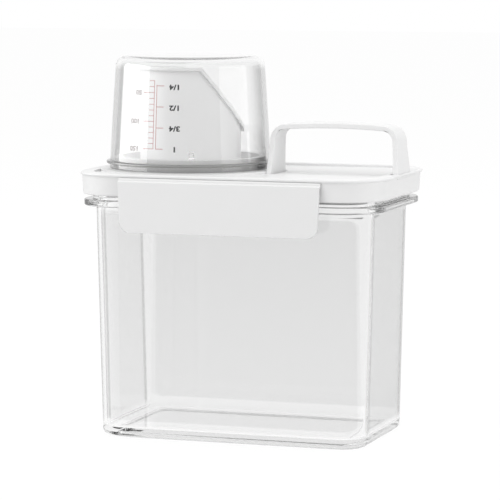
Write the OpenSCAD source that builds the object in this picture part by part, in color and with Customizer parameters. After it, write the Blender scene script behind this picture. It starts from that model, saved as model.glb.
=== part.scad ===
// Laundry-powder dispenser: a clear drafted container with a flanged rim, a
// white snap lid with two latch flaps and a carry handle, a pouring spout and
// a clear measuring cup that caps the spout upside down.
// Millimetres. +Z is up, +X runs from the spout end to the handle end, and
// the front is on the -Y side. The origin is the centre of the base.

/* [Container] */
// Outer length just under the flange
body_w = 135.4; // [124:1:150]
// Outer depth just under the flange
body_d = 81.6; // [81:1:100]
// Height from the base to the underside of the flange
body_h = 109.2; // [70:0.2:220]
// Thickness of the side walls
body_wall = 2; // [1.6:0.1:2.6]
// Height of the floor's upper face above the foot
floor_z = 4.6; // [3.8:0.1:7]
// Thickness of the floor
floor_t = 2.4; // [1.8:0.1:3]
// How much narrower each side is at the base than at the flange
draft = 2.6; // [0:0.1:3.5]
// Plan radius of the upright corners, outside
corner_r = 15; // [13:0.5:20]
// Radius of the outer edge round the base
base_r = 5; // [3.5:0.5:7]
// Radius of the inner edge round the floor
floor_r = 3.5; // [2:0.5:6]
// Width of the foot that stands round the recessed base
foot_w = 8.5; // [7:0.5:10]

/* [Rim] */
// How far the flange stands out from the wall
flange_out = 5.7; // [5:0.1:8]
// Thickness of the flange
flange_t = 3; // [2:0.1:4]
// Radius of the flange's lower edge
flange_r = 0.8; // [0.4:0.1:1]
// How far the neck above the flange stands out from the wall
neck_out = 1.6; // [1.2:0.1:2.8]
// Thickness of the neck
neck_t = 2.1; // [1.8:0.1:2.6]
// Height of the neck above the flange
neck_h = 7.4; // [6:0.1:12]
// Radius of the hollow corner under the flange
flare_r = 2; // [1:0.5:3]

/* [Lid] */
// How far the lid's lip stands out past the flange
lid_over = 1.9; // [1.2:0.1:2.5]
// Thickness of the lip round the lid's upper edge
lip_h = 1.5; // [1:0.1:2.4]
// How far the skirt is set in from the lip
skirt_in = 0.9; // [0.4:0.1:1.2]
// How much the skirt leans in towards its lower edge
skirt_draft = 0.5; // [0:0.1:0.8]
// Thickness of the skirt
skirt_t = 1.8; // [1.6:0.1:2.2]
// Gap between the flange and the skirt
skirt_gap = 2.4; // [1:0.1:3]
// Thickness of the lid's panel
plate_t = 2.1; // [1.8:0.1:3]
// How far the panel lies below the rim
panel_drop = 1.1; // [0.6:0.1:1.6]
// Width of the raised rim round the panel
rim_w = 6.5; // [5:0.5:8]
// Thickness of the ribs that hold the seal
rib_t = 1.4; // [1:0.1:1.6]
// How far the inner rib reaches below the panel into the neck
plug_h = 5.8; // [4:0.5:8]
// Clearance between the lid's ribs and the neck
neck_gap = 0.4; // [0.3:0.05:0.6]

/* [Lid seal] */
// Thickness of the seal
seal_t = 2.2; // [1.6:0.1:3]
// Gap left between the seal and the neck
seal_play = 0.1; // [0.05:0.05:0.2]

/* [Latch flaps] */
// Length of a flap
flap_w = 97.6; // [70:1:100]
// Height of a flap below its hinge
flap_h = 24.4; // [18:0.2:34]
// Thickness of a flap
flap_t = 1.5; // [1.2:0.1:2]
// How much narrower a flap is at the bottom, each side
flap_taper = 0.9; // [0:0.1:3]
// Radius of a flap's lower corners
flap_r = 5; // [2:0.5:8]
// Radius of the round hinge edge of a flap
hinge_r = 0.8; // [0.7:0.05:0.9]
// How far the hinge's axis lies outside the skirt
hinge_out = 0.45; // [0.3:0.05:0.6]
// Running clearance round the hinge edge
hinge_gap = 0.1; // [0.05:0.05:0.15]
// Gap between a flap and the skirt
flap_gap = 0.95; // [0.9:0.05:1.4]
// Length of the latch ridge
latch_w = 72; // [40:1:80]
// Height of the latch ridge
latch_h = 2.6; // [1.6:0.1:3.4]
// Gap between the ridge and the flange before the flap is pressed in
latch_gap = 0.25; // [0.2:0.05:0.4]
// Gap between the ridge's upper face and the flange's underside
hook_gap = 0.4; // [0.3:0.05:0.8]

/* [Spout] */
// Outer radius of the spout's tube
spout_r = 24; // [20:0.5:26]
// Wall of the spout
spout_wall = 1.8; // [1.2:0.1:2.4]
// Gap between the lip and the inside of the cup
spout_head = 3; // [1:0.1:6]
// Angle of the sloping cut, from the horizontal
cut_angle = 50; // [40:1:65]
// Distance from the spout's axis at which the slope leaves the lip
cut_x = 0.9; // [-4:0.1:12]
// Turn of the spout: the way its high side faces, in degrees from -X to -Y
spout_turn = 30; // [0:5:90]
// How far the rolled lip stands out from the tube
roll_out = 1.5; // [0.6:0.1:2]
// Height of the rolled lip
roll_h = 1.6; // [1:0.1:3]
// Thickness of the seat flange at the foot of the spout
seat_t = 1.6; // [1.2:0.1:2.4]

/* [Measuring cup] */
// Outer radius of the cup's rim
cup_r = 40; // [38.5:0.5:40.5]
// Height of the cup
cup_h = 53.2; // [44:0.2:60]
// Wall of the cup
cup_wall = 2; // [1.6:0.1:2.4]
// How much the rim stands out past the wall
cup_lip = 1.5; // [1.2:0.1:2.6]
// Height of the rim
cup_lip_h = 3.6; // [2.5:0.1:5]
// How much narrower the cup is at its closed end
cup_taper = 3.4; // [2:0.1:5]
// Radius of the edge round the closed end
cup_edge = 5; // [3.5:0.5:7]
// Distance from the lid's end to the cup
cup_inset = 4.4; // [3:0.5:8]
// Thickness of the cup's outer lip
cup_lip_t = 1.3; // [1:0.1:2]
// Height of the four nubs inside the cup, which seat on the collar
nub_h = 3.6; // [3:0.2:8]
// Width of a nub
nub_w = 3.2; // [2:0.2:5]
// How far a nub stands in from the wall
nub_in = 1.3; // [0.8:0.1:1.6]
// Turn of the nubs about the cup's axis, in degrees
nub_turn = 22; // [0:1:90]
// Gap between the cup's rim and the lid
cup_play = 0.3; // [0.2:0.05:0.6]

/* [Cup collar and ring] */
// Height of the collar that the cup fits over
collar_h = 6; // [4.6:0.2:9]
// Thickness of the collar
collar_t = 3; // [2.6:0.1:3.4]
// Clearance between the collar and the cup
collar_gap = 0.45; // [0.3:0.05:0.7]
// Radius of the silicone ring's section
ring_r = 0.8; // [0.6:0.05:1]
// Gap between the silicone ring and the cup
ring_gap = 0.12; // [0.1:0.02:0.2]

/* [Handle] */
// Height of the handle above the lid's rim
handle_h = 22.2; // [18:0.2:36]
// Thickness of the handle's strap
handle_t = 2.4; // [2:0.1:4]
// Width of the strap along the top
handle_d = 16; // [12:0.5:20]
// How much wider each side of the strap is at its feet
foot_flare = 3.5; // [0:0.5:5]
// Radius of the shoulders, outside
shoulder_r = 7.5; // [5:0.5:10]
// How far each leg leans out towards its foot
leg_lean = 1.2; // [0:0.1:2]
// Gap between the cup's rim and the handle
handle_gap = 2.6; // [2.2:0.1:5]
// Distance from the lid's end to the handle at the shoulder
handle_inset = 1.9; // [1.6:0.1:6]
// Rise of the handle's top in the middle
crown = 0.8; // [0:0.1:2]
// Depth of the pockets that hold the handle's feet
tenon_h = 1.2; // [0.8:0.1:1.4]
// Clearance round the handle's feet
foot_play = 0.1; // [0.05:0.05:0.2]

/* [Hidden] */

fn = 96;
fn_small = 32;
over = 1;

// Heights, from the base up
flange_top = body_h + flange_t;
neck_top = flange_top + neck_h;
plate_z = neck_top + seal_play + seal_t;
panel_z = plate_z + plate_t;
lid_top = panel_z + panel_drop;
lip_z = lid_top - lip_h;
skirt_z = flange_top + skirt_gap;

// The container, its rim and the lid are all swept round one rounded
// rectangle, so in plan they share four corner centres. A profile's x is the
// distance out from the line that joins them, and its y is the height.
path_w = body_w - 2 * corner_r;
path_d = body_d - 2 * corner_r;
flange_x = corner_r + flange_out;
neck_x = corner_r + neck_out;
neck_in_x = neck_x - neck_t;
lid_x = flange_x + lid_over;
lid_w = path_w + 2 * lid_x;
skirt_x = lid_x - skirt_in;
rib_in_x = neck_in_x - neck_gap;
rib_out_x = neck_x + neck_gap;

// Cup, collar and spout share one upright axis
cup_x = cup_inset + cup_r - lid_w / 2;
cup_z = lid_top + cup_play;
cup_top = cup_z + cup_h;
land_r = cup_r + 3;
function cup_outer(z) = cup_r - cup_lip - cup_taper * (z - cup_z) / cup_h;
function cup_inner(z) = cup_outer(z) - cup_wall;
collar_top = lid_top + collar_h;
collar_r = cup_inner(collar_top) - collar_gap;
seat_r = collar_r - collar_t;
ring_z = lid_top + collar_h * 0.6;
ring_x = cup_inner(ring_z) - ring_gap - ring_r;
port_r = spout_r + 1.6;
spout_top = cup_top - cup_wall - spout_head;
seat_play = 0.15;
snap_h = 1.4;
snap_out = 0.8;

// A flap's round hinge edge lies in a groove of the skirt, under the rim.
// Flap sizes are measured out from the lid's centre line, in -y.
half_d = path_d / 2;
hinge_y = half_d + skirt_x + hinge_out;
hinge_z = lip_z - hinge_r - hinge_gap;
flap_y = half_d + skirt_x + flap_gap;
flap_z = hinge_z - 0.95;
flap_low = hinge_z - flap_h;
ridge_y = half_d + flange_x + latch_gap;
ridge_z = body_h - hook_gap;

// Handle: one leg beside the cup, the other at the end of the lid
handle_x0 = cup_x + cup_r + handle_gap;
handle_x1 = lid_w / 2 - handle_inset;
handle_top = lid_top + handle_h;
foot_d = handle_d + 2 * foot_flare;
foot_z = panel_z - tenon_h;

// ---- Shapes that repeat ----

// Profile swept round the rounded rectangle
module sweep() {
    for (side = [0:3]) {
        run = side % 2 == 0 ? path_d : path_w;
        reach = side % 2 == 0 ? path_w / 2 : path_d / 2;
        rotate([0, 0, 90 * side])
            translate([reach, 0, 0]) {
                rotate([90, 0, 0])
                    linear_extrude(run, center = true)
                        children();
                translate([0, run / 2, 0])
                    rotate_extrude(angle = 90, $fn = fn)
                        children();
            }
    }
}

// Flat centre that closes a sweep whose profile starts at x = 0
module core(z0, z1) {
    translate([-path_w / 2, -path_d / 2, z0])
        cube([path_w, path_d, z1 - z0]);
}

// Profile rectangle between two corners
module rect(x0, x1, y0, y1) {
    translate([x0, y0])
        square([x1 - x0, y1 - y0]);
}

// Fills a hollow corner at (x, y) with a quarter round; sx and sy say which
// way the open side lies
module corner_fill(x, y, r, sx, sy) {
    difference() {
        rect(min(x, x + sx * r), max(x, x + sx * r), min(y, y + sy * r), max(y, y + sy * r));
        translate([x + sx * r, y + sy * r])
            circle(r, $fn = fn_small);
    }
}

// Drafted side from x = 0, with its lower edge rounded
module drafted(x, z0, z1, r) {
    k = draft / body_h;
    lean = atan(k);
    function edge(z) = x - draft + k * z;
    cx = edge(z0 + r) - r / cos(lean);
    polygon([[0, z0], [cx, z0],
             [cx + r * cos(lean), z0 + r - r * sin(lean)],
             [edge(z1), z1], [0, z1]]);
    translate([cx, z0 + r])
        circle(r, $fn = fn_small);
}

// Points of an arc, from angle a0 to a1
function arc(cx, cy, r, a0, a1, n = 8) =
    [for (i = [0:n]) let (a = a0 + (a1 - a0) * i / n) [cx + r * cos(a), cy + r * sin(a)]];

// ---- Container ----

module container_profile() {
    foot_x = corner_r - draft - foot_w;
    difference() {
        union() {
            drafted(corner_r, 0, flange_top, base_r);
            difference() {
                rect(neck_in_x - over, flange_x, body_h, flange_top);
                difference() {
                    rect(flange_x - flange_r, flange_x + over, body_h - over, body_h + flange_r);
                    translate([flange_x - flange_r, body_h + flange_r])
                        circle(flange_r, $fn = fn_small);
                }
            }
            corner_fill(corner_r - 0.05, body_h, flare_r, 1, -1);
            rect(neck_in_x, neck_x, body_h, neck_top);
        }
        drafted(corner_r - body_wall, floor_z, flange_top - 3, floor_r);
        // The inside opens out from the wall to the neck
        polygon([[-over, flange_top - 3.1], [corner_r - body_wall - 0.05, flange_top - 3.1],
                 [neck_in_x, flange_top + 0.5], [neck_in_x, neck_top + over], [-over, neck_top + over]]);
        difference() {
            rect(-over, foot_x, -over, floor_z - floor_t);
            translate([foot_x - 1, floor_z - floor_t - 1])
                difference() {
                    square(2);
                    circle(1, $fn = fn_small);
                }
        }
        rect(-2 * over, 0, -over, neck_top + 2 * over);
    }
}

module container() {
    color([0.86, 0.89, 0.9, 0.35]) {
        sweep()
            container_profile();
        core(floor_z - floor_t, floor_z);
    }
}

// ---- Lid ----

module lid_profile() {
    edge_r = lip_h / 2;
    translate([lid_x - edge_r, lip_z + edge_r])
        circle(edge_r, $fn = fn_small);
    // Plate with its raised rim
    rect(0, skirt_x - 0.5, plate_z, panel_z);
    rect(lid_x - rim_w, lid_x - edge_r, lip_z, lid_top);
    // Skirt, leaning in to its lower edge
    difference() {
        polygon([[skirt_x - skirt_t - skirt_draft, skirt_z], [skirt_x - skirt_draft, skirt_z],
                 [skirt_x, lip_z + 0.2], [skirt_x - skirt_t, lip_z + 0.2]]);
        polygon([[skirt_x - skirt_draft - 0.4, skirt_z - 0.01], [skirt_x + over, skirt_z - 0.01],
                 [skirt_x + over, skirt_z + 0.4 + over / 2], [skirt_x - skirt_draft, skirt_z + 0.4]]);
    }
    corner_fill(skirt_x - skirt_t + 0.01, plate_z + 0.01, 1.2, -1, -1);
    // Ribs on both sides of the neck
    rect(rib_in_x - rib_t, rib_in_x, plate_z - plug_h, plate_z + 0.5);
    rect(rib_out_x, rib_out_x + rib_t, neck_top - 2, plate_z + 0.5);
}

module lid() {
    color([0.95, 0.95, 0.95])
    difference() {
        union() {
            sweep()
                lid_profile();
            core(plate_z, panel_z);
            intersection() {
                translate([cup_x, 0, panel_z - over])
                    cylinder(h = lid_top - panel_z + over, r = land_r, $fn = fn);
                union() {
                    core(panel_z - over, lid_top);
                    sweep()
                        rect(0, lid_x - lip_h / 2, panel_z - over, lid_top);
                }
            }
            translate([cup_x, 0, panel_z])
                cylinder(h = collar_top - panel_z, r = collar_r, $fn = fn);
        }
        translate([cup_x, 0, lid_top])
            cylinder(h = collar_h + over, r = seat_r, $fn = fn);
        translate([cup_x, 0, plate_z - over])
            cylinder(h = lid_top - plate_z + 2 * over, r = port_r, $fn = fn);
        translate([cup_x, 0, ring_z])
            rotate_extrude($fn = fn)
                translate([ring_x, 0])
                    circle(ring_r, $fn = fn_small);
        for (side = [-1, 1])
            translate([0, side * hinge_y, hinge_z])
                rotate([0, 90, 0])
                    cylinder(h = flap_w + 1, r = hinge_r + hinge_gap, center = true, $fn = fn_small);
        handle_pocket(handle_x0 - leg_lean, handle_x0 + handle_t + 0.4);
        handle_pocket(handle_x1 - handle_t - 0.4, handle_x1 + leg_lean);
    }
}

// Pocket for one foot of the handle
module handle_pocket(x0, x1) {
    translate([x0 - foot_play, -foot_d / 2 - foot_play, foot_z])
        cube([x1 - x0 + 2 * foot_play, foot_d + 2 * foot_play, lid_top - foot_z + over]);
}

// ---- Lid seal: a flat ring between the two ribs ----

module lid_seal() {
    color([0.9, 0.9, 0.88])
        sweep()
            rect(rib_in_x, rib_out_x, neck_top + seal_play, plate_z);
}

// ---- Latch flaps ----

// Outline of a flap, seen from the front
module flap_outline() {
    half = flap_w / 2;
    low = half - flap_taper;
    polygon([[-half, flap_z], [-low, flap_low + flap_r], [-low + flap_r, flap_low],
             [low - flap_r, flap_low], [low, flap_low + flap_r], [half, flap_z]]);
    for (s = [-1, 1])
        translate([s * (low - flap_r), flap_low + flap_r])
            circle(flap_r, $fn = fn);
}

// One flap, drawn for the front
module flap() {
    translate([0, -flap_y, 0])
        rotate([90, 0, 0])
            linear_extrude(flap_t)
                flap_outline();
    // Round hinge edge and the web that carries the flap
    translate([0, -hinge_y, hinge_z])
        rotate([0, 90, 0])
            cylinder(h = flap_w, r = hinge_r, center = true, $fn = fn_small);
    translate([-flap_w / 2, 0, 0])
        rotate([90, 0, 90])
            linear_extrude(flap_w)
                polygon([[-hinge_y, hinge_z], [-hinge_y - 0.9 * hinge_r, hinge_z - 0.35 * hinge_r],
                         [-flap_y - 0.6, flap_z], [-flap_y - 0.6, flap_z - 1],
                         [-flap_y, flap_z - 1], [-hinge_y, hinge_z - 0.9 * hinge_r]]);
    // Ridge that hooks under the flange when the flap is pressed in
    translate([-latch_w / 2, 0, 0])
        rotate([90, 0, 90])
            linear_extrude(latch_w)
                polygon([[-flap_y - 0.5, ridge_z], [-ridge_y - 0.2, ridge_z],
                         [-ridge_y, ridge_z - 0.3], [-ridge_y, ridge_z - 0.8],
                         [-flap_y, ridge_z - latch_h], [-flap_y - 0.5, ridge_z - latch_h]]);
}

module front_flap() {
    color([0.93, 0.93, 0.93])
        flap();
}

module back_flap() {
    color([0.93, 0.93, 0.93])
        mirror([0, 1, 0])
            flap();
}

// ---- Spout: a tube in the lid's port, cut away on one side ----

// Section of the tube and its seat, from the lugs to the lip
module spout_profile() {
    inner = spout_r - spout_wall;
    low = plate_z - snap_h - 0.6;
    rect(inner, spout_r, low, spout_top);
    rect(inner + 0.5, spout_r + roll_out, lid_top + seat_t + 3, spout_top);
    rect(inner, port_r - seat_play, low, lid_top);
    rect(inner, seat_r - seat_play, lid_top, lid_top + seat_t);
    corner_fill(spout_r - 0.01, lid_top + seat_t - 0.01, 1.5, 1, 1);
}

// Outline of the slope, seen from the side; depth moves it into the wall, and
// side is 1 for what lies over it and -1 for what lies under it
module slope(depth, side) {
    reach = 4 * spout_r;
    x0 = cut_x - depth * tan(cut_angle / 2);
    z0 = spout_top - depth;
    low = [x0 + reach * cos(cut_angle), z0 - reach * sin(cut_angle)];
    if (side > 0)
        polygon([[x0 - over / tan(cut_angle), z0 + over], [low[0] + over, z0 + over],
                 [low[0] + over, low[1]], low]);
    else
        polygon([[-reach, z0], [x0, z0], low, [-reach, low[1]]]);
}

// An outline drawn in the spout's own plane, carried right across it
module across() {
    rotate([0, 0, spout_turn])
        translate([0, 2 * spout_r, 0])
            rotate([90, 0, 0])
                linear_extrude(4 * spout_r)
                    children();
}

module pour_spout() {
    roll_z = lid_top + seat_t + 3;
    color([0.96, 0.96, 0.96])
    translate([cup_x, 0, 0]) {
        difference() {
            rotate_extrude($fn = fn)
                spout_profile();
            across()
                slope(0, 1);
            // What is outside the tube and under the rolled lip
            difference() {
                across()
                    slope(roll_h, -1);
                translate([0, 0, -over])
                    cylinder(h = spout_top + 2 * over, r = spout_r, $fn = fn);
                translate([0, 0, -4 * cup_top])
                    cylinder(h = 4 * cup_top + roll_z - 1, r = 4 * spout_r, $fn = fn);
            }
        }
        for (turn = [45:90:315])
            rotate([0, 0, turn - 8])
                rotate_extrude(angle = 16, $fn = fn)
                    polygon([[port_r - 1, plate_z - snap_h],
                             [port_r - seat_play - 0.3, plate_z - snap_h],
                             [port_r + snap_out, plate_z - 0.6],
                             [port_r + snap_out, plate_z - seat_play],
                             [port_r - 1, plate_z - seat_play]]);
    }
}

// ---- Silicone ring on the collar ----

module cup_ring() {
    color([0.88, 0.88, 0.86])
        translate([cup_x, 0, ring_z])
            rotate_extrude($fn = fn)
                translate([ring_x, 0])
                    circle(ring_r, $fn = fn_small);
}

// ---- Measuring cup, upside down on the collar ----

// Wall of the cup: taper, closed end and the round edge between them
module cup_form(inset, r, z1) {
    k = cup_taper / cup_h;
    lean = atan(k);
    cx = cup_outer(z1 - r) - inset - r / cos(lean);
    polygon([[0, cup_z], [cup_outer(cup_z) - inset, cup_z],
             [cx + r * cos(lean), z1 - r + r * sin(lean)],
             [cx, z1], [0, z1]]);
    intersection() {
        translate([cx, z1 - r])
            circle(r, $fn = fn_small);
        rect(0, cup_r, z1 - r, z1);
    }
}

module measuring_cup() {
    lip_top = cup_z + cup_lip_h;
    nub_z = collar_top + cup_play;
    nub_r = cup_inner(nub_z) + 0.3;
    color([0.85, 0.88, 0.9, 0.35])
    translate([cup_x, 0, 0]) {
        rotate_extrude($fn = fn)
            difference() {
                union() {
                    cup_form(0, cup_edge, cup_top);
                    // Lip round the outside, a little above the mouth
                    polygon([[0, lip_top - cup_lip_t], [cup_r - 0.3, lip_top - cup_lip_t],
                             [cup_r, lip_top - cup_lip_t + 0.3], [cup_r, lip_top - 0.5],
                             [cup_r - 0.5, lip_top], [0, lip_top]]);
                }
                cup_form(cup_wall, cup_edge - cup_wall, cup_top - cup_wall);
                rect(-over, cup_inner(cup_z), cup_z - over, cup_z + 0.01);
            }
        // Nubs with a sloping upper end
        span = 2 * asin(nub_w / 2 / nub_r);
        for (turn = [0:90:270])
            rotate([0, 0, nub_turn + turn - span / 2])
                rotate_extrude(angle = span, $fn = fn)
                    polygon([[nub_r - 0.3 - nub_in, nub_z], [nub_r, nub_z],
                             [cup_inner(nub_z + nub_h) + 0.3, nub_z + nub_h],
                             [nub_r - 0.3 - nub_in, nub_z + nub_h - 1.5 * nub_in]]);
    }
}

// ---- Carry handle: an arched strap with its feet in the lid ----

// Front outline of the arch; inset 0 is its outside, handle_t its inside
function arch(inset) =
    let (x0 = handle_x0 + inset,
         x1 = handle_x1 - inset,
         z1 = handle_top - inset,
         r = shoulder_r - inset,
         lean = leg_lean * (z1 - r - foot_z) / (handle_top - shoulder_r - foot_z))
    concat([[x0 - lean, foot_z]],
           arc(x0 + r, z1 - r, r, 180, 90, 12),
           [for (i = [1:11]) let (t = i / 6 - 1)
               [(x0 + x1) / 2 + t * ((x1 - x0) / 2 - r), z1 + crown * (1 - t * t)]],
           arc(x1 - r, z1 - r, r, 90, 0, 12),
           [[x1 + lean, foot_z]]);

// What is cut from one side of the strap, seen from the end: the strap is
// narrow along the top and spreads in a curve to the feet
module waist() {
    spread = 1.1 * handle_h;
    curve_r = (spread * spread + foot_flare * foot_flare) / (2 * foot_flare);
    half = handle_d / 2;
    rect(half, half + foot_d, panel_z + spread, handle_top + crown + over);
    translate([half + curve_r, panel_z + spread])
        circle(curve_r, $fn = 4 * fn);
}

module carry_handle() {
    color([0.94, 0.94, 0.94])
        difference() {
            translate([0, foot_d / 2, 0])
                rotate([90, 0, 0])
                    linear_extrude(foot_d)
                        polygon(arch(0));
            translate([0, foot_d / 2 + over, 0])
                rotate([90, 0, 0])
                    linear_extrude(foot_d + 2 * over)
                        polygon(arch(handle_t));
            if (foot_flare > 0)
                for (s = [0, 1])
                    mirror([0, s, 0])
                        translate([handle_x0 - 10, 0, 0])
                            rotate([90, 0, 90])
                                linear_extrude(handle_x1 - handle_x0 + 20)
                                    waist();
        }
}

container();
lid();
lid_seal();
front_flap();
back_flap();
pour_spout();
cup_ring();
measuring_cup();
carry_handle();
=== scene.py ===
import math

import bmesh
import bpy
from mathutils import Matrix, Vector


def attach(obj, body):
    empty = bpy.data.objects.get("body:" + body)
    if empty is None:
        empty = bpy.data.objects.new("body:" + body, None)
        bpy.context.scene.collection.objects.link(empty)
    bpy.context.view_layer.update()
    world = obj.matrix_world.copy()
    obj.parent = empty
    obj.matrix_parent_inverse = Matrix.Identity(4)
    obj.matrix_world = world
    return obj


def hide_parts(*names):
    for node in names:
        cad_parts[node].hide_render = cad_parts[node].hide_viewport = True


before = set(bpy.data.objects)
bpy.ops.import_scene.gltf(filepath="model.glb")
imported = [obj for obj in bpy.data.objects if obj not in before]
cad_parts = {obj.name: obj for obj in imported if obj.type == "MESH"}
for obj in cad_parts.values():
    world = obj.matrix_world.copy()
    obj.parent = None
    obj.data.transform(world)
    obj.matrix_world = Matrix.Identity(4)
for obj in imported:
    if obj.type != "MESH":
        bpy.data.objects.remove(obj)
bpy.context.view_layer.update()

MM = 0.001

# ---------------------------------------------------------------- camera

CAMERA_TURN = math.radians(18.79)
CAMERA_RISE = math.radians(6.04)
CAMERA_REACH = 1.33648
CAMERA_TARGET = Vector((0.0, 0.0, 0.090))
FOCAL_PX = 2821.74
CENTRE_PX = (252.16, 243.06)
PICTURE = 500


def place_camera():
    """One long lens, turned and raised, with its picture shifted on to the centre."""
    data = bpy.data.cameras.new("studio_camera")
    camera = bpy.data.objects.new("studio_camera", data)
    bpy.context.scene.collection.objects.link(camera)
    back = Vector((math.sin(CAMERA_TURN) * math.cos(CAMERA_RISE),
                   -math.cos(CAMERA_TURN) * math.cos(CAMERA_RISE),
                   math.sin(CAMERA_RISE)))
    camera.location = CAMERA_TARGET + back * CAMERA_REACH
    camera.rotation_euler = (-back).to_track_quat("-Z", "Y").to_euler()
    data.sensor_width = 36.0
    data.lens = FOCAL_PX / PICTURE * data.sensor_width
    data.shift_x = (PICTURE / 2 - CENTRE_PX[0]) / PICTURE
    data.shift_y = (CENTRE_PX[1] - PICTURE / 2) / PICTURE
    data.clip_start = 0.05
    data.clip_end = 20.0
    bpy.context.scene.camera = camera


place_camera()

# ------------------------------------------------------------ node groups


def add_socket(tree, name, kind, side, value=None):
    socket = tree.interface.new_socket(name=name, in_out=side, socket_type=kind)
    if value is not None:
        socket.default_value = value
    return socket


def new_group(name, inputs, outputs):
    tree = bpy.data.node_groups.new(name, "ShaderNodeTree")
    for label, kind, value in inputs:
        add_socket(tree, label, kind, "INPUT", value)
    for label, kind in outputs:
        add_socket(tree, label, kind, "OUTPUT")
    return tree, tree.nodes.new("NodeGroupInput"), tree.nodes.new("NodeGroupOutput")


def math_node(nodes, links, what, *values):
    """A Math node whose inputs are numbers or sockets."""
    node = nodes.new("ShaderNodeMath")
    node.operation = what
    for socket, value in zip(node.inputs, values):
        if isinstance(value, (int, float)):
            socket.default_value = value
        else:
            links.new(value, socket)
    return node.outputs[0]


def mixed(nodes, links, share, first, second):
    """A colour between two others."""
    node = nodes.new("ShaderNodeMix")
    node.data_type = "RGBA"
    for socket, value in zip((node.inputs["Factor"], node.inputs["A"], node.inputs["B"]),
                             (share, first, second)):
        links.new(value, socket)
    return node.outputs["Result"]


def moulded_skin():
    """Fine waviness, grain and faint mottling of moulded plastic."""
    tree, given, result = new_group(
        "moulded_skin",
        [("Wave Scale", "NodeSocketFloat", 40.0), ("Grain Scale", "NodeSocketFloat", 900.0),
         ("Grain", "NodeSocketFloat", 0.3), ("Roughness", "NodeSocketFloat", 0.3),
         ("Roughness Spread", "NodeSocketFloat", 0.05),
         ("Colour", "NodeSocketColor", (0.8, 0.8, 0.8, 1.0)),
         ("Shade", "NodeSocketFloat", 0.03)],
        [("Colour", "NodeSocketColor"), ("Roughness", "NodeSocketFloat"),
         ("Height", "NodeSocketFloat")])
    nodes, links = tree.nodes, tree.links
    place = nodes.new("ShaderNodeTexCoord")
    wave = nodes.new("ShaderNodeTexNoise")
    wave.inputs["Detail"].default_value = 2.0
    grain = nodes.new("ShaderNodeTexNoise")
    grain.inputs["Detail"].default_value = 3.0
    links.new(place.outputs["Object"], wave.inputs["Vector"])
    links.new(place.outputs["Object"], grain.inputs["Vector"])
    links.new(given.outputs["Wave Scale"], wave.inputs["Scale"])
    links.new(given.outputs["Grain Scale"], grain.inputs["Scale"])
    waves, grains = wave.outputs["Fac"], grain.outputs["Fac"]
    centred = math_node(nodes, links, "SUBTRACT", waves, 0.5)
    links.new(math_node(nodes, links, "MULTIPLY_ADD", centred,
                        given.outputs["Roughness Spread"], given.outputs["Roughness"]),
              result.inputs["Roughness"])
    links.new(math_node(nodes, links, "MULTIPLY_ADD", grains, given.outputs["Grain"], waves),
              result.inputs["Height"])
    dim = math_node(nodes, links, "MULTIPLY", waves, given.outputs["Shade"])
    tint = nodes.new("ShaderNodeMix")
    tint.data_type = "RGBA"
    tint.blend_type = "MULTIPLY"
    tint.inputs["B"].default_value = (0.0, 0.0, 0.0, 1.0)
    links.new(dim, tint.inputs["Factor"])
    links.new(given.outputs["Colour"], tint.inputs["A"])
    links.new(tint.outputs["Result"], result.inputs["Colour"])
    return tree


SKIN = moulded_skin()


# Height in metres over which the painted dark limb fades out at a foot or a closed end
UPRIGHT_FADE = 0.003


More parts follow.
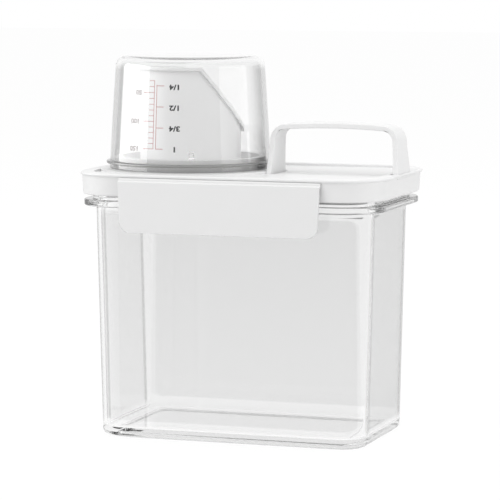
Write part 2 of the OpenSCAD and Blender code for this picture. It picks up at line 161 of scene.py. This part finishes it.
def panel_tint():
    """Painted shade on clear plastic: a grey panel, a rounded rectangle in length and height that
    goes from Panel Foot to Panel Top, and a painted dark line.
    """
    tree, given, result = new_group(
        "panel_tint",
        [("Clear", "NodeSocketColor", (0.97, 0.97, 0.97, 1.0)),
         ("Panel Top", "NodeSocketColor", (0.84, 0.84, 0.84, 1.0)),
         ("Panel Foot", "NodeSocketColor", (0.88, 0.88, 0.88, 1.0)),
         ("Half Length", "NodeSocketFloat", 0.06), ("Low", "NodeSocketFloat", 0.01),
         ("High", "NodeSocketFloat", 0.1), ("Corner", "NodeSocketFloat", 0.004),
         ("Soft", "NodeSocketFloat", 0.0004), ("Base", "NodeSocketFloat", 0.0055),
         # The sockets from here on place the painted dark line of shade at the corners
         ("Crown", "NodeSocketFloat", 1.0), ("Seam", "NodeSocketFloat", 0.0),
         ("Seam At", "NodeSocketFloat", 0.0252), ("Seam Width", "NodeSocketFloat", 0.0014),
         ("Seam Beyond", "NodeSocketFloat", 0.06),
         ("Seam Shade", "NodeSocketColor", (0.42, 0.42, 0.42, 1.0))],
        [("Colour", "NodeSocketColor"), ("Upright", "NodeSocketFloat")])
    nodes, links = tree.nodes, tree.links
    give = given.outputs
    place = nodes.new("ShaderNodeTexCoord")
    apart = nodes.new("ShaderNodeSeparateXYZ")
    links.new(place.outputs["Object"], apart.inputs[0])

    def work(what, *values):
        return math_node(nodes, links, what, *values)

    def held(value):
        return work("MINIMUM", work("MAXIMUM", value, 0.0), 1.0)

    length, depth, height = apart.outputs["X"], apart.outputs["Y"], apart.outputs["Z"]
    rise = work("SUBTRACT", height, work("MULTIPLY", work("ADD", give["Low"], give["High"]), 0.5))
    tall = work("MULTIPLY", work("SUBTRACT", give["High"], give["Low"]), 0.5)
    along = work("SUBTRACT", work("ABSOLUTE", length),
                 work("SUBTRACT", give["Half Length"], give["Corner"]))
    up = work("SUBTRACT", work("ABSOLUTE", rise), work("SUBTRACT", tall, give["Corner"]))
    along, up = work("MAXIMUM", along, 0.0), work("MAXIMUM", up, 0.0)
    away = work("SQRT", work("ADD", work("MULTIPLY", along, along), work("MULTIPLY", up, up)))
    edge = work("DIVIDE", work("SUBTRACT", away, give["Corner"]), give["Soft"])
    edge = held(work("MULTIPLY_ADD", edge, 0.5, 0.5))
    share = held(work("DIVIDE", work("ADD", rise, tall), work("MULTIPLY", tall, 2.0)))
    panel = mixed(nodes, links, share, give["Panel Foot"], give["Panel Top"])
    walls = mixed(nodes, links, edge, panel, give["Clear"])
    inside = work("MINIMUM", work("SUBTRACT", height, give["Base"]),
                  work("SUBTRACT", give["Crown"], height))
    upright = held(work("DIVIDE", inside, UPRIGHT_FADE))
    links.new(upright, result.inputs["Upright"])
    # A painted dark line of shade stands in for the dark edge that the wall's thickness shows
    # where a rounded corner meets an end wall
    painted_line = work("ABSOLUTE", work("SUBTRACT", work("ABSOLUTE", depth), give["Seam At"]))
    painted_line = work("SUBTRACT", 1.0, work("MINIMUM", work("DIVIDE", painted_line, give["Seam Width"]), 1.0))
    painted_line = work("MULTIPLY", work("MULTIPLY", painted_line, upright), give["Seam"])
    painted_line = work("MULTIPLY", painted_line,
                work("GREATER_THAN", work("ABSOLUTE", length), give["Seam Beyond"]))
    painted_line = work("MULTIPLY", painted_line, work("LESS_THAN", height, give["High"]))
    links.new(mixed(nodes, links, painted_line, walls, give["Seam Shade"]), result.inputs["Colour"])
    return tree


PAINTED_PANEL = panel_tint()
BUMP_DEPTH = 0.0004
CLEAR_ROUGHNESS = 0.012
PLASTIC_IOR = 1.5


def plastic(name, colour, roughness, spread=0.05, bump=0.02, wave=40.0, grain=900.0,
            grain_mix=0.3, shade=0.03, **sockets):
    """A Principled BSDF whose colour, roughness and bump come from the skin."""
    material = bpy.data.materials.new(name)
    material.use_nodes = True
    nodes, links = material.node_tree.nodes, material.node_tree.links
    shader = nodes["Principled BSDF"]
    skin = nodes.new("ShaderNodeGroup")
    skin.node_tree = SKIN
    skin.inputs["Colour"].default_value = (*colour, 1.0)
    skin.inputs["Roughness"].default_value = roughness
    skin.inputs["Roughness Spread"].default_value = spread
    skin.inputs["Wave Scale"].default_value = wave
    skin.inputs["Grain Scale"].default_value = grain
    skin.inputs["Grain"].default_value = grain_mix
    skin.inputs["Shade"].default_value = shade
    bumped = nodes.new("ShaderNodeBump")
    bumped.inputs["Strength"].default_value = bump
    bumped.inputs["Distance"].default_value = BUMP_DEPTH
    links.new(skin.outputs["Colour"], shader.inputs["Base Color"])
    links.new(skin.outputs["Roughness"], shader.inputs["Roughness"])
    links.new(skin.outputs["Height"], bumped.inputs["Height"])
    links.new(bumped.outputs["Normal"], shader.inputs["Normal"])
    for socket, value in sockets.items():
        shader.inputs[socket.replace("_", " ")].default_value = value
    return material


white_lid = plastic("white_lid_plastic", (0.86, 0.86, 0.86), 0.42, bump=0.05)
white_spout = plastic("white_spout_plastic", (0.94, 0.94, 0.94), 0.35)
silicone = plastic("pale_silicone", (0.78, 0.78, 0.76), 0.6, bump=0.1)
# Their colour comes from make_clear below
clear_body, clear_cup = (
    plastic(name, (0.97, 0.97, 0.97), CLEAR_ROUGHNESS, spread=0.01, bump=0.01, shade=0.0,
            Transmission_Weight=1.0, IOR=PLASTIC_IOR)
    for name in ("clear_body_plastic", "clear_cup_plastic"))


# How fast light is lost inside a clear wall, and the share of a lamp's light that each of
# its faces lets through
CLEAR_DENSITY = 3.0
CLEAR_SHADE = 0.97


def make_clear(material, panel, limb):
    """A clear wall: a panel of painted shade, a limb painted dark where the wall is seen at a
    slant, and lamps that shine on through it.

    The limb is two values of Layer Weight between which it comes up, and its shade.
    """
    limb_from, limb_to, limb_shade = limb
    nodes, links = material.node_tree.nodes, material.node_tree.links
    skin = next(node for node in nodes if node.type == "GROUP")
    tint = nodes.new("ShaderNodeGroup")
    tint.node_tree = PAINTED_PANEL
    for socket, value in panel.items():
        given = tint.inputs[socket.replace("_", " ")]
        given.default_value = value if isinstance(value, float) else (*value, 1.0)
    # Painted shade: the wall's colour darkens where it is seen at a slant, standing in for the
    # dark edges of clear plastic
    weight = nodes.new("ShaderNodeLayerWeight")
    weight.inputs["Blend"].default_value = 0.5
    grazing = nodes.new("ShaderNodeMapRange")
    grazing.interpolation_type = "SMOOTHSTEP"
    grazing.inputs["From Min"].default_value = limb_from
    grazing.inputs["From Max"].default_value = limb_to
    links.new(weight.outputs["Facing"], grazing.inputs["Value"])
    darker = nodes.new("ShaderNodeMix")
    darker.data_type = "RGBA"
    darker.blend_type = "MULTIPLY"
    darker.inputs["B"].default_value = (limb_shade, limb_shade, limb_shade, 1.0)
    links.new(math_node(nodes, links, "MULTIPLY", grazing.outputs["Result"],
                        tint.outputs["Upright"]), darker.inputs["Factor"])
    links.new(tint.outputs["Colour"], skin.inputs["Colour"])
    links.new(skin.outputs["Colour"], darker.inputs["A"])
    links.new(darker.outputs["Result"], nodes["Principled BSDF"].inputs["Base Color"])
    out = nodes["Material Output"]
    depth = nodes.new("ShaderNodeVolumeAbsorption")
    depth.inputs["Color"].default_value = (0.0, 0.0, 0.0, 1.0)
    depth.inputs["Density"].default_value = CLEAR_DENSITY
    links.new(depth.outputs[0], out.inputs["Volume"])
    path = nodes.new("ShaderNodeLightPath")
    through = nodes.new("ShaderNodeBsdfTransparent")
    through.inputs["Color"].default_value = (CLEAR_SHADE, CLEAR_SHADE, CLEAR_SHADE, 1.0)
    mix = nodes.new("ShaderNodeMixShader")
    links.new(path.outputs["Is Shadow Ray"], mix.inputs["Fac"])
    links.new(nodes["Principled BSDF"].outputs[0], mix.inputs[1])
    links.new(through.outputs[0], mix.inputs[2])
    links.new(mix.outputs[0], out.inputs["Surface"])


# The body's walls carry painted shade: a grey panel, darker towards the top, with clear plastic
# below 8.5 mm and above 106 mm, and the painted dark corner line
make_clear(clear_body,
           {"Clear": (0.98,) * 3, "Panel_Top": (0.84,) * 3, "Panel_Foot": (0.87,) * 3,
            "Half_Length": 0.0625, "Low": 0.0085, "High": 0.106, "Seam": 1.0},
           limb=(0.53, 0.93, 0.1))
# The cup's lip, below its panel, is painted dark: painted shade for the dark band where the lip
# meets the lid
make_clear(clear_cup,
           {"Clear": (0.5,) * 3, "Panel_Top": (0.955,) * 3, "Panel_Foot": (0.955,) * 3,
            "Half_Length": 1.0, "Low": 0.1285, "High": 0.3, "Soft": 0.0035,
            "Crown": 0.1752},
           limb=(0.33, 0.8, 0.4))
ink_black = plastic("black_ink", (0.03, 0.03, 0.03), 0.5, shade=0.2)
ink_red = plastic("red_ink", (0.58, 0.28, 0.28), 0.5, shade=0.2)
ink_grey = plastic("grey_ink", (0.56, 0.52, 0.52), 0.5, shade=0.2)

# ------------------------------------------------------------------ pieces

# Sizes of the clear pieces in millimetres, the same as those of their solids
CORNER_X, CORNER_Y = 52.7, 25.8
CUP_X = -30.9
CUP_MOUTH, CUP_END = 125.4, 178.6
CUP_WALL = 2.0
CUP_MOUTH_R, CUP_TAPER = 38.5, 3.4
CUP_LIP_R, CUP_LIP_LOW, CUP_LIP_HIGH = 40.0, 127.7, 129.0
# The bore is this much wider at its closed end than the taper of the wall would make it
CUP_END_WIDER = 0.1

# Points nearer than this, in millimetres, are one point
MERGE = 0.002


def rounded_chain(form, points, rounds):
    """A chain of edges through points (x, z) with some of its corners rounded."""
    corners = [form.verts.new((x * MM, 0.0, z * MM)) for x, z in points]
    for pair in zip(corners, corners[1:]):
        form.edges.new(pair)
    for index, radius, steps in rounds:
        bmesh.ops.bevel(form, geom=[corners[index]], offset=radius * MM,
                        offset_type="OFFSET", affect="VERTICES", segments=steps,
                        profile=0.5, material=-1)


def swept(points, rounds, steps=14):
    """A section carried round the four corners of the box, and its two middles filled."""
    form = bmesh.new()
    rounded_chain(form, points, rounds)
    reach = Vector((CORNER_X * MM, CORNER_Y * MM, 0.0))
    bmesh.ops.translate(form, verts=form.verts, vec=(reach.x, -reach.y, 0.0))
    chain = form.verts[:] + form.edges[:]
    for way, corner in (((0, 1), (1, 1)), ((-1, 0), (-1, 1)),
                        ((0, -1), (-1, -1)), ((1, 0), (1, -1))):
        step = Vector((way[0] * 2 * reach.x, way[1] * 2 * reach.y, 0.0))
        chain = bmesh.ops.spin(form, geom=chain, cent=(0, 0, 0), axis=(0, 0, 1), dvec=step,
                               angle=0.0, steps=1, use_duplicate=False)["geom_last"]
        centre = (corner[0] * reach.x, corner[1] * reach.y, 0.0)
        chain = bmesh.ops.spin(form, geom=chain, cent=centre, axis=(0, 0, 1), dvec=(0, 0, 0),
                               angle=math.pi / 2, steps=steps, use_duplicate=False)["geom_last"]
    bmesh.ops.remove_doubles(form, verts=form.verts, dist=MERGE * MM)
    rims = [edge for edge in form.edges if edge.is_boundary]
    bmesh.ops.holes_fill(form, edges=rims, sides=0)
    bmesh.ops.recalc_face_normals(form, faces=form.faces)
    return form


def revolved(points, rounds, steps=96):
    """A section turned once round the cup's axis."""
    form = bmesh.new()
    rounded_chain(form, points, rounds)
    bmesh.ops.spin(form, geom=form.verts[:] + form.edges[:], cent=(0, 0, 0), axis=(0, 0, 1),
                   dvec=(0, 0, 0), angle=2 * math.pi, steps=steps, use_merge=True,
                   use_duplicate=False)
    bmesh.ops.remove_doubles(form, verts=form.verts, dist=MERGE * MM)
    bmesh.ops.translate(form, verts=form.verts, vec=(CUP_X * MM, 0.0, 0.0))
    bmesh.ops.recalc_face_normals(form, faces=form.faces)
    return form


def piece_from(form, name, material, body, replaced=None, ease=0.0, sharp=35.0):
    """Makes a form a piece of a body, with its edges eased by some millimetres."""
    mesh = bpy.data.meshes.new(name)
    form.to_mesh(mesh)
    form.free()
    mesh.materials.clear()
    mesh.materials.append(material)
    for face in mesh.polygons:
        face.use_smooth = True
    mesh.set_sharp_from_angle(angle=math.radians(sharp))
    piece = bpy.data.objects.new(name, mesh)
    bpy.context.scene.collection.objects.link(piece)
    if ease:
        bevel = piece.modifiers.new("eased_edges", "BEVEL")
        bevel.limit_method = "ANGLE"
        bevel.angle_limit = math.radians(sharp)
        bevel.width = ease * MM
        bevel.segments = 2
        bevel.use_clamp_overlap = False
    weighted = piece.modifiers.new("even_shading", "WEIGHTED_NORMAL")
    weighted.keep_sharp = True
    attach(piece, body)
    if replaced:
        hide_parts(replaced)
    return piece


def node_form(node):
    """A node's own shape, merged and with its flat faces made whole."""
    form = bmesh.new()
    form.from_mesh(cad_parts[node].data)
    bmesh.ops.remove_doubles(form, verts=form.verts, dist=MERGE * MM)
    bmesh.ops.dissolve_degenerate(form, edges=form.edges, dist=0.001 * MM)
    bmesh.ops.dissolve_limit(form, angle_limit=math.radians(0.2), use_dissolve_boundaries=False,
                             verts=form.verts, edges=form.edges, delimit=set())
    bmesh.ops.triangulate(form, faces=[face for face in form.faces if len(face.verts) > 4])
    return form


# Container: foot, drafted wall, flange and neck in one section. Places along x are
# measured outwards from the middle of a corner's round, and heights from the ground.
FOOT_IN, FOOT_OUT, BASE_RECESS = 3.9, 12.4, 2.2
WALL_TOP, FLANGE_OUT, FLANGE_LOW, FLANGE_HIGH = 15.0, 20.7, 109.2, 112.2
NECK_IN, NECK_OUT, NECK_FROM, NECK_TOP = 14.5, 16.6, 112.7, 119.6
BORE_FOOT, BORE_TOP, FLOOR_TOP, BORE_HIGH = 10.52, 13.0, 4.6, 109.1
CONTAINER = ((0, BASE_RECESS), (FOOT_IN, BASE_RECESS), (FOOT_IN, 0), (FOOT_OUT, 0),
             (WALL_TOP, FLANGE_LOW), (FLANGE_OUT, FLANGE_LOW), (FLANGE_OUT, FLANGE_HIGH),
             (NECK_OUT, FLANGE_HIGH), (NECK_OUT, NECK_TOP), (NECK_IN, NECK_TOP),
             (NECK_IN, NECK_FROM), (BORE_TOP, BORE_HIGH), (BORE_FOOT, FLOOR_TOP),
             (0, FLOOR_TOP))
# Corner of the section, radius and steps. The foot's outer edge (3), the corner under
# the flange (4) and the corner round the floor (12) are rounded less than in the solid.
CONTAINER_ROUNDS = ((1, 1.0, 4), (2, 0.4, 2), (3, 3.0, 8), (4, 0.6, 3), (5, 0.8, 4),
                    (6, 0.6, 4), (7, 0.4, 2), (8, 0.5, 3), (9, 0.5, 3), (10, 1.0, 3),
                    (11, 2.0, 4), (12, 1.2, 5))
piece_from(swept(CONTAINER, CONTAINER_ROUNDS), "container_shell", clear_body, "container",
           "container")


def cup_outer(z):
    """Outer radius of the cup's wall at a height, in millimetres."""
    return CUP_MOUTH_R - CUP_TAPER * (z - CUP_MOUTH) / (CUP_END - CUP_MOUTH)


# Measuring cup, mouth down, with its lip and four nubs
NUB_LOW, NUB_HIGH, NUB_IN, NUB_TURN = 131.4, 135.0, 1.3, 22.0
NUB_SHRINK = (0.8, 0.8, 0.55)
CUP = ((0, CUP_END), (cup_outer(CUP_END), CUP_END), (cup_outer(CUP_LIP_HIGH), CUP_LIP_HIGH),
       (CUP_LIP_R, CUP_LIP_HIGH), (CUP_LIP_R, CUP_LIP_LOW),
       (cup_outer(CUP_LIP_LOW), CUP_LIP_LOW), (CUP_MOUTH_R, CUP_MOUTH),
       (CUP_MOUTH_R - CUP_WALL, CUP_MOUTH), (cup_outer(NUB_LOW) - CUP_WALL, NUB_LOW),
       (cup_outer(NUB_HIGH) - CUP_WALL, NUB_HIGH),
       (cup_outer(CUP_END) - CUP_WALL + CUP_END_WIDER, CUP_END - CUP_WALL),
       (0, CUP_END - CUP_WALL))
CUP_ROUNDS = ((1, 5.0, 10), (2, 0.5, 3), (3, 0.5, 3), (4, 0.4, 3), (6, 0.5, 3), (7, 0.5, 3),
              (10, 3.0, 8))


def cup_form():
    """The cup, with four faces of its bore drawn inwards as nubs."""
    form = revolved(CUP, CUP_ROUNDS)
    axis = Vector((CUP_X * MM, 0.0, 0.0))
    middle = (NUB_LOW + NUB_HIGH) / 2 * MM
    mid_wall = (cup_outer(NUB_LOW) - CUP_WALL / 2) * MM
    for quarter in range(4):
        turn = math.radians(NUB_TURN + 90 * quarter)
        aim = Vector((math.cos(turn), math.sin(turn), 0.0))
        best = min((face for face in form.faces
                    if abs(face.calc_center_median().z - middle) < 0.5 * MM
                    and (face.calc_center_median() - axis).xy.length < mid_wall),
                   key=lambda face: -(face.calc_center_median() - axis).dot(aim))
        grown = bmesh.ops.extrude_discrete_faces(form, faces=[best])["faces"]
        bmesh.ops.translate(form, verts=grown[0].verts, vec=-aim * NUB_IN * MM)
        bmesh.ops.scale(form, verts=grown[0].verts, vec=NUB_SHRINK,
                        space=Matrix.Translation(-grown[0].calc_center_median()))
    return form


piece_from(cup_form(), "measuring_cup_shell", clear_cup, "cup", "measuring_cup")

# The other pieces keep the shapes of their solids. The lid and the flaps have fine hinge
# shapes, which wider eased edges would turn inside out or push into each other.
for node, material, body, slot, ease in (
        ("lid", white_lid, "lid", "white_lid", 0.03),
        ("lid_seal", silicone, "lid", "silicone", 0.2),
        ("front_flap", white_lid, "front_flap", "white_lid", 0.1),
        ("back_flap", white_lid, "back_flap", "white_lid", 0.1),
        ("pour_spout", white_spout, "lid", "white_spout", 0.25),
        ("cup_ring", silicone, "lid", "silicone", 0.0),
        ("carry_handle", white_lid, "lid", "white_lid", 0.35)):
    piece_from(node_form(node), node + "_shell", material, body, node, ease)

# ------------------------------------------------- measuring scale on the cup

# Millimetres, and degrees round the cup for turns
INK_LIFT = 0.03
INK_THICK = 0.03
LINE_HALF, TICK_HALF, PART_TICK_HALF = 0.14, 0.13, 0.15
LONG_TICK, SHORT_TICK, PART_TICK = 5.6, 2.6, 3.6
SCALE_FROM, SCALE_STEP, LONG_EVERY, CUPFUL = 30, 10, 50, 150
PART_LINE_TOP, PART_TICK_TOP, PART_NUMBER_TOP = 166.0, 165.6, 165.1
ML_TURN, PART_TURN, PART_NUMBER_TURN = -97.5, -95.5, -81.5
ML_NUMBER_TURN, SHORT_NUMBER_TURN = -114.0, -111.5
PART_NUMBER_TALL, ML_NUMBER_TALL = 2.3, 2.1
# A letter's height as a share of its text size, and how much it is thickened and widened
LETTER_SHARE, LETTER_SWELL, LETTER_WIDEN = 0.7, 0.12, 1.25
# Millilitres that the rounded closed end takes off the bore, taken as half of one
ROUND_END_LOSS = 0.5


def wrap_on_cup(form, angle, z):
    """Lays flat ink on the cup, upside down, because the cup stands on its mouth."""
    for vert in form.verts:
        across, along, lift = vert.co / MM
        height = z - along
        radius = cup_outer(height) + INK_LIFT + lift
        turn = math.radians(angle) - across / cup_outer(height)
        vert.co = (MM * (CUP_X + radius * math.cos(turn)), MM * radius * math.sin(turn),
                   MM * height)


def bar(form, x0, x1, y0, y1):
    """A flat strip of ink."""
    cube = bmesh.ops.create_cube(form, size=1.0)["verts"]
    bmesh.ops.scale(form, verts=cube, vec=((x1 - x0) * MM, (y1 - y0) * MM, INK_THICK * MM))
    bmesh.ops.translate(form, verts=cube, vec=((x0 + x1) / 2 * MM, (y0 + y1) / 2 * MM,
                                               INK_THICK / 2 * MM))


def millilitre_heights():
    """Where each volume stands, from the bore of the cup itself."""
    heights, filled, z, step = {}, -ROUND_END_LOSS, CUP_END - CUP_WALL, 0.02
    wanted = SCALE_STEP
    while z > CUP_MOUTH and wanted <= CUPFUL:
        filled += math.pi * (cup_outer(z) - CUP_WALL) ** 2 * step / 1000
        z -= step
        if filled >= wanted:
            heights[wanted] = z
            wanted += SCALE_STEP
    return heights


LEVEL = millilitre_heights()
MID = (LEVEL[SCALE_FROM] + LEVEL[CUPFUL]) / 2


def part_height(top, index):
    """A quarter's mark or number, evenly spaced from the top one to the full cup's level."""
    return top - (top - LEVEL[CUPFUL]) * index / 3


def scale_marks():
    """Ticks every ten millilitres, and every quarter of a cupful beside them."""
    form = bmesh.new()
    bar(form, -LINE_HALF, LINE_HALF, MID - LEVEL[SCALE_FROM], MID - LEVEL[CUPFUL])
    for volume in range(SCALE_FROM, CUPFUL + 1, SCALE_STEP):
        y = MID - LEVEL[volume]
        reach = LONG_TICK if volume % LONG_EVERY == 0 else SHORT_TICK
        bar(form, 0.0, reach, y - TICK_HALF, y + TICK_HALF)
    wrap_on_cup(form, ML_TURN, MID)
    piece_from(form, "millilitre_marks", ink_red, "cup", sharp=60.0)
    form = bmesh.new()
    bar(form, -LINE_HALF, LINE_HALF, MID - PART_LINE_TOP, MID - LEVEL[CUPFUL])
    for index in range(4):
        y = MID - part_height(PART_TICK_TOP, index)
        bar(form, -PART_TICK, 0.0, y - PART_TICK_HALF, y + PART_TICK_HALF)
    wrap_on_cup(form, PART_TURN, MID)
    piece_from(form, "part_marks", ink_red, "cup", sharp=60.0)


def number(words, name, material, height, angle, z):
    """A number in ink on the cup, centred on a turn and a height."""
    text = bpy.data.curves.new(name + "_text", "FONT")
    text.body = words
    text.size = height / LETTER_SHARE * MM
    text.align_x = "CENTER"
    text.align_y = "CENTER"
    text.extrude = INK_THICK / 2 * MM
    text.offset = LETTER_SWELL * MM
    text.resolution_u = 4
    holder = bpy.data.objects.new(name + "_text", text)
    bpy.context.scene.collection.objects.link(holder)
    flat = bpy.data.meshes.new_from_object(holder)
    form = bmesh.new()
    form.from_mesh(flat)
    bpy.data.objects.remove(holder)
    bpy.data.meshes.remove(flat)
    bmesh.ops.remove_doubles(form, verts=form.verts, dist=0.001 * MM)
    bmesh.ops.scale(form, verts=form.verts, vec=(LETTER_WIDEN, 1.0, 1.0))
    wrap_on_cup(form, angle, z)
    piece_from(form, name, material, "cup", sharp=60.0)


scale_marks()
for index, words in enumerate(("1/4", "1/2", "3/4", "1")):
    number(words, "part_number_%d" % (index + 1), ink_black, PART_NUMBER_TALL,
           PART_NUMBER_TURN, part_height(PART_NUMBER_TOP, index))
for volume in range(LONG_EVERY, CUPFUL + 1, LONG_EVERY):
    turn = SHORT_NUMBER_TURN if volume < 100 else ML_NUMBER_TURN
    number(str(volume), "millilitre_number_%d" % volume, ink_grey, ML_NUMBER_TALL, turn,
           LEVEL[volume])

# ------------------------------------------------------------------- stage

# The floor's own colour, the one that is seen, the glow that lifts it to white, and the
# strength of the world's light
FLOOR_COLOUR, FLOOR_SEEN, FLOOR_LIFT, ROOM_LIGHT = 0.8, 0.10, 0.92, 0.65
FLOOR_SIZE = 6.0
MIDDLE = (0.0, 0.0, 0.10)
CUP_MIDDLE = (CUP_X * MM, 0.0, 0.28)
LIGHT_BOUNCES = 128


def seen_straight(nodes, links):
    """1 where the camera sees a surface by itself, in a mirror or through glass."""
    path = nodes.new("ShaderNodeLightPath")
    plain = math_node(nodes, links, "MAXIMUM", path.outputs["Is Camera Ray"],
                      path.outputs["Is Transmission Ray"])
    return math_node(nodes, links, "MAXIMUM", plain, path.outputs["Is Glossy Ray"])


def pale_floor():
    """A pale floor that reads as white but still takes the object's shadow."""
    mesh = bpy.data.meshes.new("floor")
    form = bmesh.new()
    bmesh.ops.create_grid(form, x_segments=1, y_segments=1, size=FLOOR_SIZE)
    form.to_mesh(mesh)
    form.free()
    floor = bpy.data.objects.new("floor", mesh)
    bpy.context.scene.collection.objects.link(floor)
    material = bpy.data.materials.new("pale_floor")
    material.use_nodes = True
    nodes, links = material.node_tree.nodes, material.node_tree.links
    nodes.clear()
    matt = nodes.new("ShaderNodeBsdfDiffuse")
    tone = nodes.new("ShaderNodeMapRange")
    tone.inputs["To Min"].default_value = FLOOR_COLOUR
    tone.inputs["To Max"].default_value = FLOOR_SEEN
    glow = nodes.new("ShaderNodeEmission")
    seen = seen_straight(nodes, links)
    links.new(seen, tone.inputs["Value"])
    links.new(tone.outputs["Result"], matt.inputs["Color"])
    links.new(math_node(nodes, links, "MULTIPLY", seen, FLOOR_LIFT), glow.inputs["Strength"])
    both = nodes.new("ShaderNodeAddShader")
    links.new(matt.outputs[0], both.inputs[0])
    links.new(glow.outputs[0], both.inputs[1])
    out = nodes.new("ShaderNodeOutputMaterial")
    links.new(both.outputs[0], out.inputs["Surface"])
    mesh.materials.append(material)


def world_light():
    """An even room light, behind which the background is seen as plain white."""
    world = bpy.data.worlds.new("studio_world")
    bpy.context.scene.world = world
    world.use_nodes = True
    nodes, links = world.node_tree.nodes, world.node_tree.links
    nodes.clear()
    room = nodes.new("ShaderNodeBackground")
    room.inputs["Strength"].default_value = ROOM_LIGHT
    shown = nodes.new("ShaderNodeBackground")
    shown.inputs["Color"].default_value = (1.0, 1.0, 1.0, 1.0)
    room.inputs["Color"].default_value = (1.0, 1.0, 1.0, 1.0)
    mix = nodes.new("ShaderNodeMixShader")
    links.new(seen_straight(nodes, links), mix.inputs["Fac"])
    links.new(room.outputs[0], mix.inputs[1])
    links.new(shown.outputs[0], mix.inputs[2])
    out = nodes.new("ShaderNodeOutputWorld")
    links.new(mix.outputs[0], out.inputs["Surface"])


def soft_box(name, place, aim, size, radiance, on_matt=True, in_gloss=True):
    """A rectangular lamp; the camera doesn't see it straight."""
    data = bpy.data.lights.new(name, "AREA")
    data.shape = "RECTANGLE"
    data.size, data.size_y = size
    data.energy = radiance * math.pi * size[0] * size[1]
    lamp = bpy.data.objects.new(name, data)
    bpy.context.scene.collection.objects.link(lamp)
    lamp.location = place
    lamp.rotation_euler = (Vector(aim) - Vector(place)).to_track_quat("-Z", "Y").to_euler()
    lamp.visible_camera = False
    lamp.visible_transmission = False
    lamp.visible_diffuse = on_matt
    lamp.visible_glossy = in_gloss


pale_floor()
world_light()
soft_box("key_box", (-0.9, -0.9, 1.2), MIDDLE, (0.9, 0.9), 3.0, in_gloss=False)
soft_box("top_box", (0.1, 0.1, 1.5), MIDDLE, (1.0, 1.0), 1.85, in_gloss=False)
soft_box("right_fill", (1.3, -0.3, 0.5), MIDDLE, (0.6, 0.8), 2.4, in_gloss=False)
soft_box("right_card", (0.719, -0.021, 0.28), CUP_MIDDLE, (0.70, 0.42), 1.6, on_matt=False)
soft_box("left_card", (-0.69, -0.205, 0.28), CUP_MIDDLE, (0.76, 0.42), 4.0, on_matt=False)

# Light runs far inside a clear wall before it comes out again
paths = bpy.context.scene.cycles
paths.max_bounces = LIGHT_BOUNCES
paths.transmission_bounces = LIGHT_BOUNCES
paths.glossy_bounces = LIGHT_BOUNCES
bpy.context.scene.view_settings.view_transform = "Standard"
